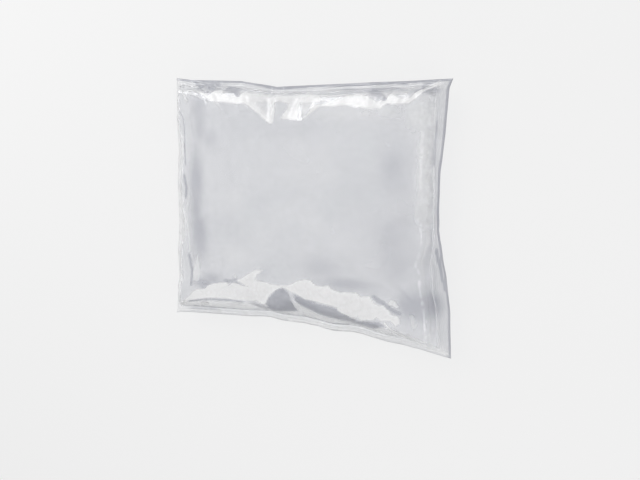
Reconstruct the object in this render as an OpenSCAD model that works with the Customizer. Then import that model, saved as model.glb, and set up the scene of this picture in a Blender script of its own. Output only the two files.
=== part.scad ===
// Reusable gel ice pack: two sheets of clear film, welded together all round,
// with a clear gel sealed between them. It lies on its back, as it comes to rest.
// X is the pack's width, Y its height, and Z its thickness. The origin is under
// the middle of the pack, on the surface that it lies on.

/* [Film] */
// Width over the outer edges of the film, at its bottom corners
film_w = 204; // [150:1:260]
// Height over the outer edges of the film, from corner to corner
film_h = 161; // [120:1:220]
// How much narrower the filled pack is at its top corners
taper = 6; // [0:0.5:12]
// Thickness of each sheet of film
film_t = 0.2; // [0.15:0.05:0.4]
// Width of the welded band along the top and bottom
band_end = 4; // [3:0.5:8]
// Width of the welded band along the left side, where it is widest
band_left = 5.5; // [3:0.5:9]
// Width of the welded band along the right side, where it is widest
band_right = 9; // [4:0.5:11]

/* [Fill] */
// Height of the welded band above the surface under the pack
weld_z = 8; // [5:0.5:12]
// Height of the gel above the welded band, at the middle of the pack
crown_z = 12.5; // [8:0.25:20]
// Width of the steep wall inside the top weld
wall_top = 4; // [3:0.5:8]
// Width of the steep wall inside the left weld
wall_left = 9; // [5:0.5:14]
// Width of the steep wall inside the right weld
wall_right = 5; // [4:0.5:12]
// Width of the steep wall inside the bottom weld, away from its large fold
wall_bottom = 9; // [5:0.5:14]
// Distance from the side welds to where the gel is level
facet_side = 16; // [10:1:30]
// Distance from the bottom weld to where the gel is level
facet_bottom = 22; // [14:1:34]
// Distance from the left and right welds to where the back film lies flat
rest_x = 25; // [20:1:40]
// Distance from the top and bottom welds to where the back film lies flat
rest_y = 22; // [16:1:34]

/* [Edges] */
// How far the filling draws in the top edge
draw_top = 5.5; // [0:0.5:10]
// How far the filling draws in the bottom edge
draw_bottom = 7; // [0:0.5:12]
// How far the filling draws in the right edge
draw_right = 9; // [0:0.5:12]
// Lift of the four corners above the rest of the welded band
corner_z = 2; // [1:0.5:6]
// How much more two opposite corners lift, and the other two less
twist_z = 1; // [0:0.25:1]

/* [Gathers] */
// Height of the largest gather in the front film
gather_z = 2.4; // [0:0.2:4]
// Height of the largest gather in the back film
back_gather_z = 1.4; // [0:0.1:2]
// Half-width of the largest gather
gather_w = 6; // [5:0.5:12]
// Distance from the weld to where the gathers are highest
gather_y = 4.5; // [4:0.5:12]
// How far a gather bends the welded band up or down
weld_wave = 1.6; // [0:0.1:3]

/* [Mesh] */
// Steps across the width of the film
steps_x = 44; // [20:2:48]
// Steps across the height of the film
steps_y = 22; // [16:2:34]

/* [Hidden] */

half_w = film_w / 2;
half_h = film_h / 2;
// The mesh line of the weld's inner edge, as a share of the half width and height
weld_share = 0.94;
// How far the gathers' bend in the welded band reaches into the gel
wave_reach = 10;
// How the back film curves down from the weld to where it lies flat. At 2 or
// more it would meet the surface too gently for a firm rest.
back_power = 1.5;
// How much finer the steps are at the edges than at the middle, across the
// width and the height. The gathers lie side by side across the width.
crowding_x = 0.25;
crowding_y = 0.55;
// How much the corners alone take the lift
corner_power = 5;

TOP = 0;
BOTTOM = 1;
LEFT = 2;
RIGHT = 3;

// How each edge is drawn in, read off the photograph. Places along an edge run
// from -1 to 1, and the distances are shares of the largest one. The left edge
// stays straight.
drawn_top = [[-1, 0], [-0.84, 0.27], [-0.47, 0.36], [-0.31, 0.7], [-0.2, 1], [0.02, 0.8], [0.22, 0.64],
             [0.49, 0.4], [0.7, 0.27], [1, 0]];
drawn_bottom = [[-1, 0], [-0.82, 0.26], [-0.65, 0.5], [-0.4, 0.74], [-0.25, 1], [-0.07, 0.9], [0.11, 0.88],
                [0.23, 0.7], [0.34, 0.84], [0.43, 0.8], [0.51, 0.64], [0.68, 0.47], [0.9, 0.16], [1, 0]];
drawn_right = [[-1, 0], [-0.8, 0.1], [-0.65, 0.17], [-0.4, 0.44], [-0.25, 0.67], [-0.07, 1], [0.07, 1],
               [0.36, 0.88], [0.65, 0.6], [0.92, 0.3], [1, 0]];
// The welded bands at the sides, as shares of their largest width
width_left = [[-1, 0.4], [-0.6, 0.45], [-0.5, 0.75], [-0.2, 1], [0.07, 0.85], [0.4, 0.75], [0.7, 0.5], [1, 0.4]];
width_right = [[-1, 0.8], [-0.75, 0.85], [-0.5, 1], [-0.32, 0.9], [-0.15, 0.35], [0.2, 0.3], [0.36, 0.4],
               [0.5, 0.55], [0.65, 0.72], [0.8, 0.78], [1, 0.7]];

// Where the level middle of the gel starts below the top weld: the place along
// it, and the distance from it. The two long tongues are folds.
top_line = [[-0.92, 2], [-0.72, 3], [-0.62, 9], [-0.45, 9], [-0.39, 7], [-0.28, 12], [-0.18, 19], [-0.13, 14],
            [-0.01, 18], [0.04, 16], [0.12, 11], [0.24, 6], [0.39, 5], [0.49, 11], [0.55, 11], [0.65, 6],
            [0.77, 7], [0.94, 2]];
// How much wider the bottom wall is along the weld, with one large fold
fold_wall = [[-0.9, -2], [-0.71, 0], [-0.27, 0], [-0.2, 4], [-0.14, 8], [-0.08, 7], [0.02, 4.5], [0.27, 3],
             [0.37, 1], [0.71, 0]];
// How steep the facets between the walls and the level middle are
slope_top = 0.34;
slope_bottom = 0.13;
slope_left = 0.3;
slope_right = 0.42;

// The gathers: side of the pack, place along that side as a share of it,
// height and half-width as shares of the largest, and how far each one leans
// along the side for each millimetre inwards. A height below 0 is a valley.
gathers = [
    [TOP, -0.84, 0.45, 0.80, 0.8],
    [TOP, -0.60, 0.60, 0.70, 0.7],
    [TOP, -0.47, -0.50, 0.70, 0.5],
    [TOP, -0.35, 0.60, 0.70, 0.5],
    [TOP, -0.24, -0.90, 0.70, 0.4],
    [TOP, -0.13, 1.00, 0.70, 0.3],
    [TOP, 0.01, -0.80, 0.80, -0.4],
    [TOP, 0.18, 0.45, 1.00, -0.5],
    [TOP, 0.36, -0.35, 0.90, 0.2],
    [TOP, 0.49, 0.60, 0.80, 0.2],
    [TOP, 0.60, -0.50, 0.70, -0.4],
    [TOP, 0.76, 0.40, 0.80, -0.5],
    [BOTTOM, -0.86, -0.40, 0.80, 0.3],
    [BOTTOM, -0.62, 0.45, 1.00, 0.2],
    [BOTTOM, -0.33, -0.50, 0.90, 0.1],
    [BOTTOM, -0.15, 1.00, 1.10, 0.1],
    [BOTTOM, 0.00, -0.70, 0.70, 0.2],
    [BOTTOM, 0.18, 0.45, 0.90, 0],
    [BOTTOM, 0.38, -0.50, 0.80, -0.1],
    [BOTTOM, 0.60, 0.60, 0.80, -0.2],
    [BOTTOM, 0.80, -0.40, 0.80, -0.3],
    [LEFT, 0.66, 0.35, 1.20, 0.2],
    [LEFT, 0.42, -0.45, 1.10, 0],
    [LEFT, 0.12, 0.50, 1.20, 0.1],
    [LEFT, -0.20, -0.35, 1.30, 0],
    [LEFT, -0.45, 0.55, 1.00, 0.2],
    [LEFT, -0.66, -0.40, 0.90, 0.2],
    [RIGHT, 0.62, -0.35, 1.20, 0],
    [RIGHT, 0.30, 0.35, 1.40, 0],
    [RIGHT, -0.03, -0.60, 1.00, 0.1],
    [RIGHT, -0.28, 0.60, 1.00, 0.1],
    [RIGHT, -0.66, -0.35, 1.20, 0]
];

function sum(list, i = 0) = i == len(list) ? 0 : list[i] + sum(list, i + 1);

// Where the mesh lines run, from -1 to 1. The first and last are the film's
// outer edges, and the lines next to them are the weld's inner line.
function crowd(t, crowding) = (1 - crowding) * t + crowding * sin(90 * t);
function mesh_line(i, steps, crowding) =
    i == 0 ? -1 :
    i == steps ? 1 :
    weld_share * crowd(2 * (i - 1) / (steps - 2) - 1, crowding);

// How far one edge is drawn in, and the welded band's width, at t along it
function hollow(side, t) =
    side == TOP ? draw_top * lookup(t, drawn_top) :
    side == BOTTOM ? draw_bottom * lookup(t, drawn_bottom) :
    side == RIGHT ? draw_right * lookup(t, drawn_right) : 0;
function band_at(side, t) =
    side == LEFT ? band_left * lookup(t, width_left) :
    side == RIGHT ? band_right * lookup(t, width_right) : band_end;

// Distances of the film's outer edge and of the weld's inner line from the middle
function outer_x(u, v) = half_w - taper / 2 * (1 + v) / 2 - hollow(u < 0 ? LEFT : RIGHT, v);
function outer_y(u, v) = half_h - hollow(v < 0 ? BOTTOM : TOP, u);
function inner_x(u, v) = outer_x(u, v) - band_at(u < 0 ? LEFT : RIGHT, v);
function inner_y(u, v) = outer_y(u, v) - band_at(v < 0 ? BOTTOM : TOP, u);
// The mesh lines are straight over the flat part of the back, and bend with the
// edge outside it
function reach_out(share, level, flat, inner, outer) =
    share <= level ? share / level * flat :
    share <= weld_share ? flat + (share - level) / (weld_share - level) * (inner - flat) :
    inner + (share - weld_share) / (1 - weld_share) * (outer - inner);
function place_x(u, v) = sign(u) * reach_out(abs(u), level_u, flat_x, inner_x(u, v), outer_x(u, v));
function place_y(u, v) = sign(v) * reach_out(abs(v), level_v, flat_y, inner_y(u, v), outer_y(u, v));

// Distance inwards from the weld's inner line: below 0 in the welded band
function inwards_x(u, v) = inner_x(u, v) - abs(place_x(u, v));
function inwards_y(u, v) = inner_y(u, v) - abs(place_y(u, v));

// The rise of the film over one side's shoulder, from 0 at the weld to 1 where
// the gel is level: a steep wall, and a facet that leans less
function rise(s, wall, facet, slope, rounded) =
    s <= 0 ? 0 :
    let (share = min(s / facet, 1), full = slope * facet * (1 - rounded / 2))
    (slope * facet * (share - rounded * share * share / 2)
     + (crown_z - full) * (1 - pow(1 - min(s / wall, 1), 2))) / crown_z;
function rise_x(u, v) =
    u < 0 ? rise(inwards_x(u, v), wall_left, facet_side, slope_left, 1)
          : rise(inwards_x(u, v), wall_right, facet_side, slope_right, 1);
function rise_y(u, v) =
    v < 0 ? rise(inwards_y(u, v), wall_bottom + lookup(u, fold_wall), facet_bottom, slope_bottom, 0.5)
          : rise(inwards_y(u, v), wall_top, lookup(u, top_line), slope_top, 0);
function fullness(u, v) = rise_x(u, v) * rise_y(u, v);

// The back film's share of the way down, which is 1 where it lies flat. That is
// a rectangle which ends on mesh lines, so that the pack rests on its corners.
function laid(share, level) =
    share >= weld_share ? 0 : share <= level ? 1 :
    1 - pow((share - level) / (weld_share - level), back_power);
function settled(u, v) = laid(abs(u), level_u) * laid(abs(v), level_v);

// A gather's own coordinates: inwards from the weld, and across the gather
function on_end(g) = g[0] == TOP || g[0] == BOTTOM;
function near_side(g, u, v) =
    g[0] == TOP ? v > 0 :
    g[0] == BOTTOM ? v < 0 :
    g[0] == LEFT ? u < 0 : u > 0;
function across_share(g, s, u, v) =
    exp(-pow(((on_end(g) ? (u - g[1]) * half_w : (v - g[1]) * half_h) - g[4] * max(0, s))
             / (gather_w * g[3]), 2));

// The ridges and valleys of all the gathers, as a share of the largest one's
function ridges(u, v, in_x, in_y) =
    sum([for (g = gathers) let (s = on_end(g) ? in_y : in_x)
        s <= 0 || !near_side(g, u, v) ? 0 :
        g[2] * across_share(g, s, u, v) * (s / gather_y) * exp(1 - s / gather_y)]);
// The bend that the gathers put in the welded band
function waves(u, v, in_x, in_y) =
    sum([for (g = gathers) let (s = on_end(g) ? in_y : in_x)
        !near_side(g, u, v) ? 0 :
        weld_wave * g[2] * across_share(g, s, u, v) * exp(-pow(max(0, s) / wave_reach, 2))]);

// The level at which the two sheets meet, which the welded band follows
function meet_z(u, v, in_x, in_y) =
    weld_z + (corner_z + twist_z * sign(u * v)) * pow(abs(u * v), corner_power)
    + waves(u, v, in_x, in_y) * (1 - fullness(u, v));
// The inner faces of the two sheets, which are the faces of the gel
function gel_top(u, v) =
    let (in_x = inwards_x(u, v), in_y = inwards_y(u, v), f = fullness(u, v))
    meet_z(u, v, in_x, in_y) + crown_z * f + gather_z * ridges(u, v, in_x, in_y) * min(1, 3 * f);
// The back film's gathers lie the other way round, and end where it lies flat
function gel_bottom(u, v) =
    let (in_x = inwards_x(u, v), in_y = inwards_y(u, v), f = settled(u, v))
    meet_z(u, v, in_x, in_y) * (1 - f) + film_t * f
    - back_gather_z * ridges(-u, v, in_x, in_y) * min(1, 4 * f) * (1 - f);

// Points on those faces, and how each one leans
function top_point(u, v) = [place_x(u, v), place_y(u, v), gel_top(u, v)];
function bottom_point(u, v) = [place_x(u, v), place_y(u, v), gel_bottom(u, v)];
probe = 0.004;
function unit(a) = a / norm(a);
function top_normal(u, v) =
    unit(cross(top_point(u + probe, v) - top_point(u - probe, v),
               top_point(u, v + probe) - top_point(u, v - probe)));
function bottom_normal(u, v) =
    unit(cross(bottom_point(u, v + probe) - bottom_point(u, v - probe),
               bottom_point(u + probe, v) - bottom_point(u - probe, v)));

// In the welded band each sheet lies flat on the other
function in_band(u, v) = abs(u) >= weld_share - 0.0001 || abs(v) >= weld_share - 0.0001;
function film_top(u, v) =
    top_point(u, v) + film_t * (in_band(u, v) ? [0, 0, 1] : top_normal(u, v));
function film_bottom(u, v) =
    bottom_point(u, v)
    + film_t * (in_band(u, v) || settled(u, v) >= 1 ? [0, 0, -1] : bottom_normal(u, v));

// Mesh lines, and the faces between a grid's points
lines_u = [for (i = [0 : steps_x]) mesh_line(i, steps_x, crowding_x)];
lines_v = [for (j = [0 : steps_y]) mesh_line(j, steps_y, crowding_y)];
// The first mesh lines, counted inwards, that are as far in as the flat part,
// and their distances from the middle
level_u = [for (u = lines_u) if ((weld_share + u) * half_w >= rest_x) -u][0];
level_v = [for (v = lines_v) if ((weld_share + v) * half_h >= rest_y) -v][0];
flat_x = level_u * half_w;
flat_y = level_v * half_h;
function grid_index(i, j) = j * (steps_x + 1) + i;
// A cell's two triangles. Their shared edge runs towards the pack's middle, so
// that no triangle in a corner of the gel has all three points on the weld.
function two_faces(a, b, c, d, turned = false) =
    turned ? [[a, b, d], [b, c, d]] : [[a, b, c], [a, c, d]];
function turned_cell(i, j, across, along) = (2 * i < across) != (2 * j < along);
function flipped(faces) = [for (f = faces) [f[2], f[1], f[0]]];
function shifted(faces, by) = [for (f = faces) f + [by, by, by]];

// Clockwise seen from above, as an upper face has to be
upper_faces = [
    for (j = [0 : steps_y - 1]) for (i = [0 : steps_x - 1])
    each two_faces(grid_index(i, j), grid_index(i, j + 1),
                   grid_index(i + 1, j + 1), grid_index(i + 1, j),
                   turned_cell(i, j, steps_x, steps_y))
];

// The outline of the grid, anticlockwise from the bottom left corner
outline = concat(
    [for (i = [0 : steps_x - 1]) grid_index(i, 0)],
    [for (j = [0 : steps_y - 1]) grid_index(steps_x, j)],
    [for (i = [steps_x : -1 : 1]) grid_index(i, steps_y)],
    [for (j = [steps_y : -1 : 1]) grid_index(0, j)]
);
count = (steps_x + 1) * (steps_y + 1);
rim_faces = [
    for (k = [0 : len(outline) - 1])
    let (a = outline[k], b = outline[(k + 1) % len(outline)])
    each two_faces(a, b, b + count, a + count)
];

// A sheet of film between an upper and a lower grid of points
module sheet(upper, lower) {
    polyhedron(
        points = concat(upper, lower),
        faces = concat(upper_faces, shifted(flipped(upper_faces), count), rim_faces)
    );
}

module front_film() {
    color([0.86, 0.89, 0.92, 0.45])
    sheet([for (v = lines_v) for (u = lines_u) film_top(u, v)],
          [for (v = lines_v) for (u = lines_u) top_point(u, v)]);
}

module back_film() {
    color([0.82, 0.85, 0.89, 0.45])
    sheet([for (v = lines_v) for (u = lines_u) bottom_point(u, v)],
          [for (v = lines_v) for (u = lines_u) film_bottom(u, v)]);
}

// The gel fills the pouch to the weld, where its two faces meet in one edge
gel_x = steps_x - 2;
gel_y = steps_y - 2;
function gel_index(i, j) = j * (gel_x + 1) + i;
gel_count = (gel_x + 1) * (gel_y + 1);
function on_weld(i, j) = i == 0 || j == 0 || i == gel_x || j == gel_y;
function under_index(i, j) = gel_index(i, j) + (on_weld(i, j) ? 0 : gel_count);
gel_upper_faces = [
    for (j = [0 : gel_y - 1]) for (i = [0 : gel_x - 1])
    each two_faces(gel_index(i, j), gel_index(i, j + 1),
                   gel_index(i + 1, j + 1), gel_index(i + 1, j),
                   turned_cell(i, j, gel_x, gel_y))
];
gel_lower_faces = [
    for (j = [0 : gel_y - 1]) for (i = [0 : gel_x - 1])
    each flipped(two_faces(under_index(i, j), under_index(i, j + 1),
                           under_index(i + 1, j + 1), under_index(i + 1, j),
                           turned_cell(i, j, gel_x, gel_y)))
];

module gel_fill() {
    color([0.80, 0.82, 0.85, 0.7])
    polyhedron(
        points = concat(
            [for (j = [1 : steps_y - 1]) for (i = [1 : steps_x - 1]) top_point(lines_u[i], lines_v[j])],
            [for (j = [1 : steps_y - 1]) for (i = [1 : steps_x - 1]) bottom_point(lines_u[i], lines_v[j])]
        ),
        faces = concat(gel_upper_faces, gel_lower_faces)
    );
}

back_film();
gel_fill();
front_film();
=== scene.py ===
# %% [markdown]
# # A reusable gel ice pack in clear film
#
# The real pack is two sheets of clear film, welded together in a band along all four sides, with
# a clear gel sealed in between. It lies on its back, and the camera looks down on it. The packed
# CAD model is loaded first, because it fixes the size and the place of everything else.

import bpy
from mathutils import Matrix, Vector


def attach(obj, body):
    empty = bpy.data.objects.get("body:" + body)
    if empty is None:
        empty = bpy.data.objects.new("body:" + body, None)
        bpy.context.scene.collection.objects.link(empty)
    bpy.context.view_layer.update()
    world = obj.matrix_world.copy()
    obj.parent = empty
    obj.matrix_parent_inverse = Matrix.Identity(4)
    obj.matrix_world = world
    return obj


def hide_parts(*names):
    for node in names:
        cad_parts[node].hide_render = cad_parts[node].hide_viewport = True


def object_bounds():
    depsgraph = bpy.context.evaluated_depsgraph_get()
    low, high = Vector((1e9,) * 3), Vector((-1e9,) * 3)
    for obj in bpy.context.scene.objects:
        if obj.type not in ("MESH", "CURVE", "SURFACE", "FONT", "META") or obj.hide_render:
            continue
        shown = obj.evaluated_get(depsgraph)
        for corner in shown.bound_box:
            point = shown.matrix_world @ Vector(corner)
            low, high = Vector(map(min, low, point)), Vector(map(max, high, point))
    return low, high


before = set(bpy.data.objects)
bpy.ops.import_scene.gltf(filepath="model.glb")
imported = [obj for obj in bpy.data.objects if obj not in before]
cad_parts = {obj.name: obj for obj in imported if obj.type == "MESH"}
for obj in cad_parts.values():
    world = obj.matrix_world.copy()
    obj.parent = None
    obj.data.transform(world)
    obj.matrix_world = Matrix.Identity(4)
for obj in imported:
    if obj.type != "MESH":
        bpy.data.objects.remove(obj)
cad_low, cad_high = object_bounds()
print("CAD nodes:", sorted(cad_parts))
print("CAD box:", [round(v, 4) for v in cad_low], [round(v, 4) for v in cad_high])

# %% Tools for this lesson
import math

import bmesh
import bpy
import numpy as np
from mathutils import Matrix, Vector, noise

MM = 0.001
scene = bpy.context.scene


def add_piece(mesh_data, name):
    """Puts a finished bmesh into the scene as an object at the origin."""
    mesh = bpy.data.meshes.new(name)
    mesh_data.to_mesh(mesh)
    mesh_data.free()
    mesh.polygons.foreach_set("use_smooth", [True] * len(mesh.polygons))
    piece = bpy.data.objects.new(name, mesh)
    scene.collection.objects.link(piece)
    print(name, "has", len(mesh.polygons), "faces")
    return piece


# %% [markdown]
# ## The pack's measurements
#
# All lengths here are in millimetres, and the meshes are scaled to metres at the end. The film's
# outer size is read from the CAD box. The other values are the ones that the part was drawn from.
# Places on the pack are given as shares: u runs from -1 at the left edge to 1 at the right, and
# v from -1 at the bottom to 1 at the top.

# %% Measurements
TOP, BOTTOM, LEFT, RIGHT = range(4)
half_w = (cad_high[0] - cad_low[0]) / 2 / MM
half_h = (cad_high[1] - cad_low[1]) / 2 / MM
film_t = 0.2
film_gap = 0.06
weld_z = 8.0
crown_z = 12.5
corner_z = 2.0
twist_z = 1.0
taper = 3.0
deepest = {TOP: 5.5, BOTTOM: 7.0, LEFT: 0.0, RIGHT: 9.0}
band_w = {TOP: 4.0, BOTTOM: 4.0, LEFT: 5.5, RIGHT: 9.0}
print("film", round(2 * half_w, 1), "by", round(2 * half_h, 1), "mm")

# %% [markdown]
# ## The outline
#
# The sheets are cut square, but the filling draws each side inwards, most where a large fold
# pinches it. The lists say how far: each pair is a place along the side, from -1 to 1, and a share
# of the deepest value. The left side stays straight. The welded bands are given in the same way,
# and the one on the right nearly closes where its side is drawn in most.

# %% Outline
drawn_in = {
    TOP: [(-1, 0), (-0.84, 0.27), (-0.47, 0.36), (-0.31, 0.7), (-0.2, 1), (0.02, 0.8), (0.22, 0.64),
          (0.49, 0.4), (0.7, 0.27), (1, 0)],
    BOTTOM: [(-1, 0), (-0.82, 0.26), (-0.65, 0.5), (-0.4, 0.74), (-0.25, 1), (-0.07, 0.9), (0.11, 0.88),
             (0.23, 0.7), (0.34, 0.84), (0.43, 0.8), (0.51, 0.64), (0.68, 0.47), (0.9, 0.16), (1, 0)],
    LEFT: [(-1, 0), (1, 0)],
    RIGHT: [(-1, 0), (-0.8, 0.1), (-0.65, 0.17), (-0.4, 0.44), (-0.25, 0.67), (-0.07, 1), (0.07, 1),
            (0.36, 0.88), (0.65, 0.6), (0.92, 0.3), (1, 0)],
}
band_shares = {
    TOP: [(-1, 1), (1, 1)],
    BOTTOM: [(-1, 1), (1, 1)],
    LEFT: [(-1, 0.4), (-0.6, 0.45), (-0.5, 0.75), (-0.2, 1), (0.07, 0.85), (0.4, 0.75), (0.7, 0.5), (1, 0.4)],
    RIGHT: [(-1, 0.8), (-0.75, 0.85), (-0.5, 1), (-0.32, 0.9), (-0.15, 0.35), (0.2, 0.3), (0.36, 0.4),
            (0.5, 0.55), (0.65, 0.72), (0.8, 0.78), (1, 0.7)],
}


def hollow(side, t):
    return deepest[side] * np.interp(t, *zip(*drawn_in[side]))


def band_at(side, t):
    """The welded band's width along one side."""
    return band_w[side] * np.interp(t, *zip(*band_shares[side]))


# The mesh lines of the weld's inner edge, as shares of the half width and half height, and the
# lines that the flat part of the back ends on
weld_u, weld_v = 0.94, 0.94
level_u, level_v = 0.6735, 0.577


def reach_out(share, level, weld, half, inner, outer):
    """Distance from the middle: straight lines up to the level part, which then follow the weld."""
    flat = level * half
    towards = flat + (share - level) / (weld - level) * (inner - flat)
    beyond = inner + (share - weld) / (1 - weld) * (outer - inner)
    return np.where(share <= level, share * half, np.where(share <= weld, towards, beyond))


def edges(u, v):
    """How far the weld's inner line and the film's outer edge are from the middle."""
    across = half_w - taper * (1 + v) / 2
    outer_x = across - np.where(u < 0, hollow(LEFT, v), hollow(RIGHT, v))
    inner_x = outer_x - np.where(u < 0, band_at(LEFT, v), band_at(RIGHT, v))
    outer_y = half_h - np.where(v < 0, hollow(BOTTOM, u), hollow(TOP, u))
    inner_y = outer_y - np.where(v < 0, band_at(BOTTOM, u), band_at(TOP, u))
    return inner_x, outer_x, inner_y, outer_y


def place(u, v):
    """Where a point of the film lies, seen from above, in millimetres."""
    inner_x, outer_x, inner_y, outer_y = edges(u, v)
    x = np.sign(u) * reach_out(np.abs(u), level_u, weld_u, half_w, inner_x, outer_x)
    y = np.sign(v) * reach_out(np.abs(v), level_v, weld_v, half_h, inner_y, outer_y)
    return x, y


def inwards(u, v):
    """Distances from the weld's inner line, across and along: below 0 in the band."""
    x, y = place(u, v)
    inner_x, _, inner_y, _ = edges(u, v)
    return inner_x - np.abs(x), inner_y - np.abs(y)


# %% [markdown]
# ## The gathers
#
# A flat pouch that is filled has too much film along its edges, and the spare length folds up
# into gathers. A simulation would make such folds, but at places of its own choice. Here each one
# is set where the photograph shows it: the side of the pack, its place along that side,
# its height and half-width as shares of the largest one's, and how far it leans along the side
# for each millimetre inwards. A height below 0 is a valley.

# %% Gathers
gather_z = 2.4
back_gather_z = 1.4
gather_w = 6.0
gather_y = 4.5
weld_wave = 1.6
wave_reach = 10.0
gathers = [
    (TOP, -0.84, 0.45, 0.60, 0.8),
    (TOP, -0.72, -0.45, 0.60, 0.7),
    (TOP, -0.60, 0.60, 0.60, 0.7),
    (TOP, -0.47, -0.50, 0.70, 0.5),
    (TOP, -0.35, 0.60, 0.70, 0.5),
    (TOP, -0.24, -0.90, 0.60, 0.4),
    (TOP, -0.13, 1.00, 0.60, 0.3),
    (TOP, 0.01, -0.80, 0.80, -0.4),
    (TOP, 0.18, 0.45, 1.00, -0.5),
    (TOP, 0.36, -0.35, 0.90, 0.2),
    (TOP, 0.49, 0.60, 0.60, 0.2),
    (TOP, 0.60, -0.50, 0.60, -0.4),
    (TOP, 0.72, 0.40, 0.60, -0.5),
    (TOP, 0.86, -0.35, 0.60, -0.7),
    (BOTTOM, -0.86, -0.40, 0.80, 0.3),
    (BOTTOM, -0.62, 0.45, 1.00, 0.2),
    (BOTTOM, -0.33, -0.50, 0.90, 0.1),
    (BOTTOM, -0.15, 1.00, 1.10, 0.1),
    (BOTTOM, 0.00, -0.70, 0.70, 0.2),
    (BOTTOM, 0.18, 0.45, 0.90, 0.0),
    (BOTTOM, 0.38, -0.50, 0.80, -0.1),
    (BOTTOM, 0.60, 0.60, 0.80, -0.2),
    (BOTTOM, 0.80, -0.40, 0.80, -0.3),
    (LEFT, 0.66, 0.35, 1.20, 0.2),
    (LEFT, 0.42, -0.45, 1.10, 0.0),
    (LEFT, 0.12, 0.50, 1.20, 0.1),
    (LEFT, -0.20, -0.35, 1.30, 0.0),
    (LEFT, -0.45, 0.55, 1.00, 0.2),
    (LEFT, -0.66, -0.40, 0.90, 0.2),
    (RIGHT, 0.62, -0.35, 1.20, 0.0),
    (RIGHT, 0.30, 0.35, 1.40, 0.0),
    (RIGHT, -0.03, -0.60, 1.00, 0.1),
    (RIGHT, -0.28, 0.60, 1.00, 0.1),
    (RIGHT, -0.66, -0.35, 1.20, 0.0),
]
print(len(gathers), "gathers")


def near_side(side, u, v):
    return {TOP: v > 0, BOTTOM: v < 0, LEFT: u < 0, RIGHT: u > 0}[side]


def across_share(gather, u, v, in_x, in_y, sharpness=1.5):
    side, place_along, _, width, lean = gather
    from_weld = in_y if side in (TOP, BOTTOM) else in_x
    along = (u - place_along) * half_w if side in (TOP, BOTTOM) else (v - place_along) * half_h
    across = np.abs(along - lean * np.maximum(0, from_weld)) / (gather_w * width)
    return from_weld, np.exp(-across ** sharpness)


def ridges(u, v, in_x, in_y):
    """The gathers' ridges and valleys, as shares of the largest one's height."""
    total = np.zeros_like(u)
    for gather in gathers:
        from_weld, share = across_share(gather, u, v, in_x, in_y)
        rise = np.maximum(0, from_weld) / gather_y
        total += near_side(gather[0], u, v) * gather[2] * share * rise * np.exp(1 - rise)
    return total


def waves(u, v, in_x, in_y):
    """How far the gathers bend the welded band up or down."""
    total = np.zeros_like(u)
    for gather in gathers:
        from_weld, share = across_share(gather, u, v, in_x, in_y, 2)
        fade = np.exp(-(np.maximum(0, from_weld) / wave_reach) ** 2)
        total += near_side(gather[0], u, v) * weld_wave * gather[2] * share * fade
    return total


# %% [markdown]
# ## Creases in the film
#
# Between the large gathers the film is covered in small sharp creases, close together at the
# welds and almost gone on the level middle. Sharp creases come from noise whose sign is dropped:
# it makes a smooth field fold along the lines where it was zero. The noise is stretched inwards
# from each weld, because that is the way the film is pulled.

# %% Creases


def noise_field(x, y, size_x, size_y, seed):
    """Smooth noise from -1 to 1, the same on every run."""
    points = zip((x / size_x).ravel(), (y / size_y).ravel())
    values = [noise.noise(Vector((px, py, seed))) for px, py in points]
    return np.array(values).reshape(x.shape)


def folded_noise(x, y, size_x, size_y, seed):
    """Noise that is folded into sharp creases, centred on 0."""
    return 0.28 - np.abs(noise_field(x, y, size_x, size_y, seed))


def creases(x, y, in_x, in_y, seed):
    """The height of the small creases, in millimetres."""
    at_ends = np.exp(-(np.maximum(0, in_y) / 8) ** 2)
    at_sides = np.exp(-(np.maximum(0, in_x) / 7) ** 2)
    ends = folded_noise(x, y, 8, 16, seed) + 0.5 * folded_noise(x - 0.5 * y, y, 3.5, 9, seed + 7)
    sides = folded_noise(x, y, 14, 9, seed + 3) + 0.5 * folded_noise(x, y, 9, 5, seed + 5)
    middle = noise_field(x, y, 38, 30, seed + 11)
    return 1.1 * at_ends * ends + 0.9 * at_sides * sides + 0.15 * middle


# %% [markdown]
# ## The shoulders
#
# The film rises from the weld in two stages: a steep wall, and then a facet that leans less, up
# to the crease where the level middle starts. The photograph shows both lines on the top and
# bottom sides, because the facet mirrors the lamp and the wall doesn't. They are given here as
# distances from the weld at places along the side, all in millimetres.

# %% Shoulder lines
facet_ends = {
    TOP: [(-97, 2), (-80, 4), (-70, 7), (-60, 9), (-47, 9), (-34, 8), (-26, 12), (-18, 18), (-13, 10),
          (-8, 14), (-2, 16), (5, 16), (12, 11), (19, 9), (33, 8), (46, 10), (54, 11), (63, 8), (72, 9),
          (80, 6), (86, 3), (97, 2)],
    BOTTOM: [(-95, 8), (-73, 15), (-42, 22), (-28, 27), (-20, 22), (0, 23), (12, 26), (30, 22),
             (52, 22), (62, 18), (78, 12), (96, 6)],
    LEFT: [(-75, 12), (-40, 17), (0, 17), (40, 17), (75, 12)],
    RIGHT: [(-75, 14), (-40, 16), (0, 15), (40, 16), (75, 14)],
}
wall_ends = {
    TOP: [(-97, 4), (97, 4)],
    BOTTOM: [(-93, 7), (-73, 9), (-45, 9), (-30, 9), (-23, 8), (-19, 12), (-15, 16), (-8, 18), (-2, 17),
             (4, 15), (24, 14), (30, 13), (36, 11), (44, 9), (60, 10), (70, 10), (80, 8), (96, 6)],
    LEFT: [(-75, 9), (75, 9)],
    RIGHT: [(-75, 5), (75, 5)],
}
facet_slope = {TOP: 0.34, BOTTOM: 0.13, LEFT: 0.30, RIGHT: 0.42}
# The crease is sharp at the ends of the pack and rounded off at its sides
rounded = {TOP: 0.0, BOTTOM: 0.5, LEFT: 1.0, RIGHT: 1.0}
foot_w = 1.2


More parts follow.
